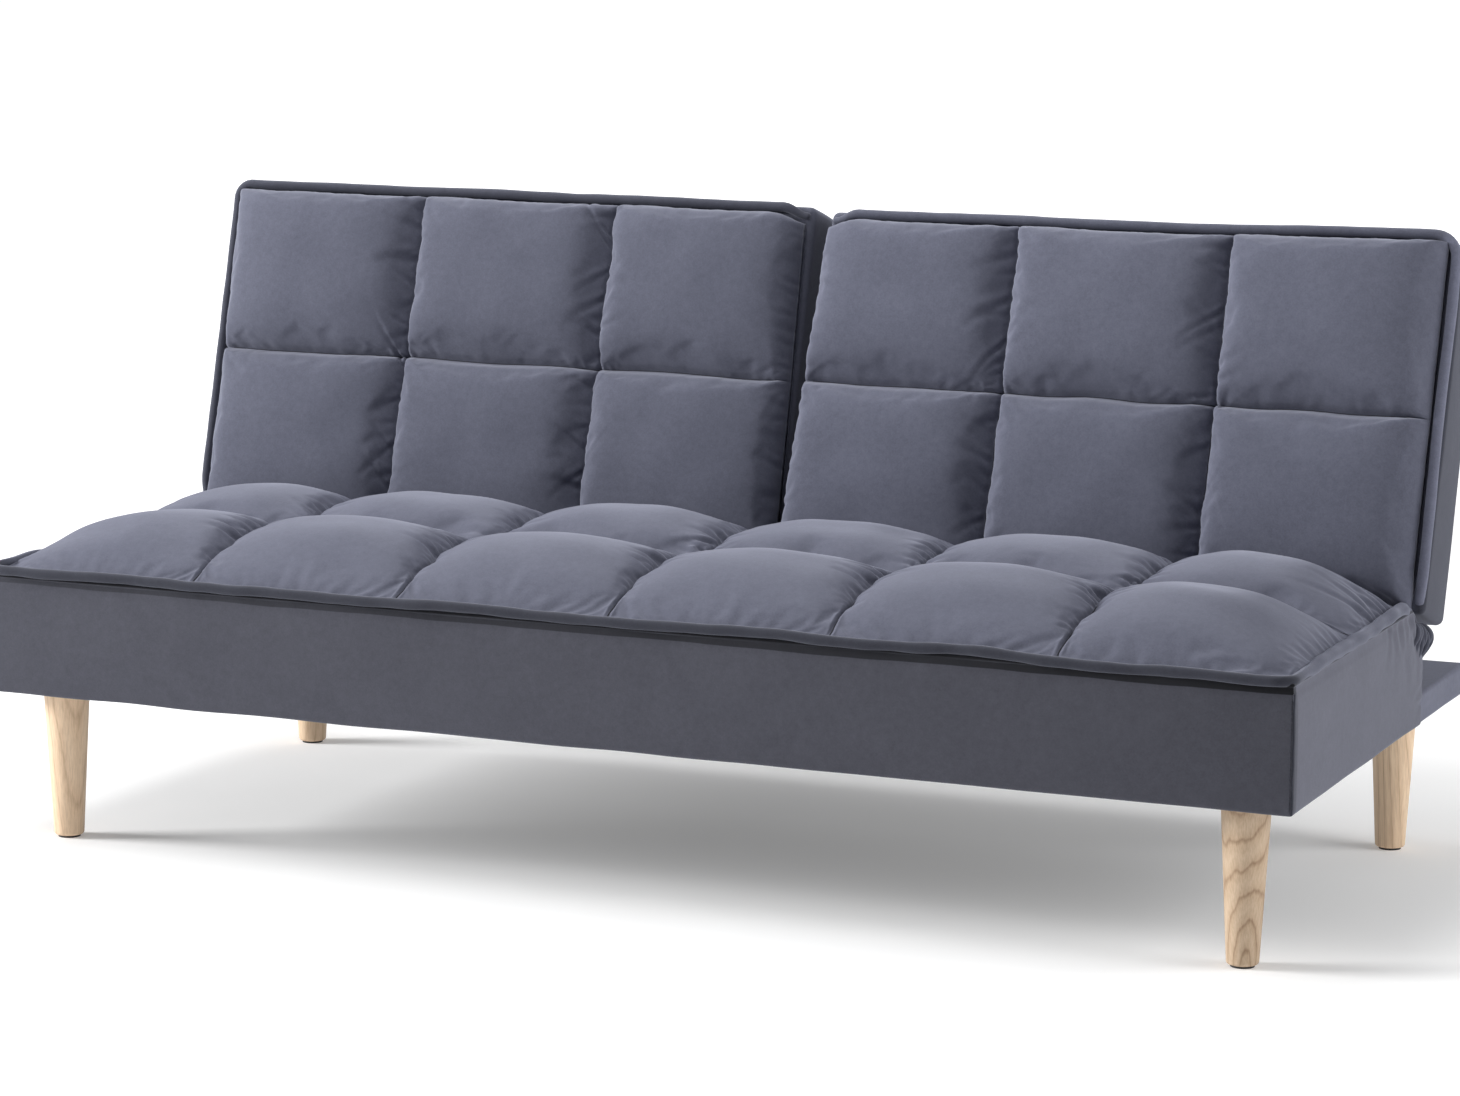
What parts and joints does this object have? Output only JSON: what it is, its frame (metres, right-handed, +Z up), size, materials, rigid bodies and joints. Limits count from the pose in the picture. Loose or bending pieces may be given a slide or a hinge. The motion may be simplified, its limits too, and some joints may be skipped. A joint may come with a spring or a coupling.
{
  "type": "sofa_bed",
  "caption": "Armless upholstered sofa bed with quilted seat, split ratchet-hinged backs that fold flat over a rear ledge, and tapered wooden legs",
  "frame": {"origin": "bottom of the bounding box, under its middle, at floor level", "axes": "+X to the right end as seen by a person facing the sofa, +Y to the rear, +Z up"},
  "size_m": [1.8, 0.8373, 0.8331],
  "materials": {
    "velvet": "soft blue-grey velvet with a short nap",
    "leg_wood": "satin, pale natural",
    "frame_wood": "raw timber and plywood",
    "black_steel": "satin black",
    "zinc_steel": "zinc plated",
    "foam": "matte polyurethane foam",
    "felt": "matte",
    "dust_cloth": "matte non-woven",
    "glide_plastic": "matte"
  },
  "bodies": {
    "base": {"centre_panel": "frame_wood", "corner_blocks": "frame_wood", "deck_bearers": "frame_wood", "deck_board": "frame_wood", "deck_cover": "velvet", "deck_rear_rail": "frame_wood", "dust_cover": "dust_cloth", "front_rail": "frame_wood", "hinge_pins": "zinc_steel", "hinge_seat_arms": "black_steel", "hinge_seat_screws": "zinc_steel", "leg_front_left": "leg_wood", "leg_front_right": "leg_wood", "leg_glides": "glide_plastic", "leg_hanger_bolts": "zinc_steel", "leg_plate_screws": "zinc_steel", "leg_plates": "zinc_steel", "leg_rear_left": "leg_wood", "leg_rear_right": "leg_wood", "pawl_pins": "zinc_steel", "pawl_springs": "zinc_steel", "seat_border_front": "velvet", "seat_border_left": "velvet", "seat_border_rear": "velvet", "seat_border_right": "velvet", "seat_cover_top": "velvet", "seat_foam": "foam", "seat_piping": "velvet", "seat_rear_rail_left": "frame_wood", "seat_rear_rail_right": "frame_wood", "seat_springs": "zinc_steel", "side_panel_left": "frame_wood", "side_panel_right": "frame_wood", "spring_clips": "zinc_steel", "spring_felt": "felt"},
    "left_back": {"left_back_band": "velvet", "left_back_foam": "foam", "left_back_front_cover": "velvet", "left_back_hinge_arms": "black_steel", "left_back_hinge_screws": "zinc_steel", "left_back_piping": "velvet", "left_back_rails": "frame_wood", "left_back_rear_cover": "velvet", "left_back_stiles": "frame_wood", "left_back_webbing": "felt"},
    "right_back": {"right_back_band": "velvet", "right_back_foam": "foam", "right_back_front_cover": "velvet", "right_back_hinge_arms": "black_steel", "right_back_hinge_screws": "zinc_steel", "right_back_piping": "velvet", "right_back_rails": "frame_wood", "right_back_rear_cover": "velvet", "right_back_stiles": "frame_wood", "right_back_webbing": "felt"},
    "pawl_left_inner_lever": {"pawl_left_inner": "black_steel"},
    "pawl_left_outer_lever": {"pawl_left_outer": "black_steel"},
    "pawl_right_inner_lever": {"pawl_right_inner": "black_steel"},
    "pawl_right_outer_lever": {"pawl_right_outer": "black_steel"}
  },
  "joints": [
    {"name": "left_back_recline", "type": "hinge", "parent": "base", "child": "left_back", "pos_m": [-0.443, 0.1839, 0.333], "axis": [-1, 0, 0], "range_deg": [-8, 72.5]},
    {"name": "right_back_recline", "type": "hinge", "parent": "base", "child": "right_back", "pos_m": [0.443, 0.1839, 0.333], "axis": [-1, 0, 0], "range_deg": [-8, 72.5]},
    {"name": "pawl_left_inner_lift", "type": "hinge", "parent": "base", "child": "pawl_left_inner_lever", "pos_m": [-0.0155, 0.14855, 0.29764], "axis": [-1, 0, 0], "range_deg": [0, 14], "stiffness_Nm_per_rad": 0.3},
    {"name": "pawl_left_outer_lift", "type": "hinge", "parent": "base", "child": "pawl_left_outer_lever", "pos_m": [-0.8705, 0.14855, 0.29764], "axis": [-1, 0, 0], "range_deg": [0, 14], "stiffness_Nm_per_rad": 0.3},
    {"name": "pawl_right_inner_lift", "type": "hinge", "parent": "base", "child": "pawl_right_inner_lever", "pos_m": [0.0155, 0.14855, 0.29764], "axis": [-1, 0, 0], "range_deg": [0, 14], "stiffness_Nm_per_rad": 0.3},
    {"name": "pawl_right_outer_lift", "type": "hinge", "parent": "base", "child": "pawl_right_outer_lever", "pos_m": [0.8705, 0.14855, 0.29764], "axis": [-1, 0, 0], "range_deg": [0, 14], "stiffness_Nm_per_rad": 0.3}
  ]
}
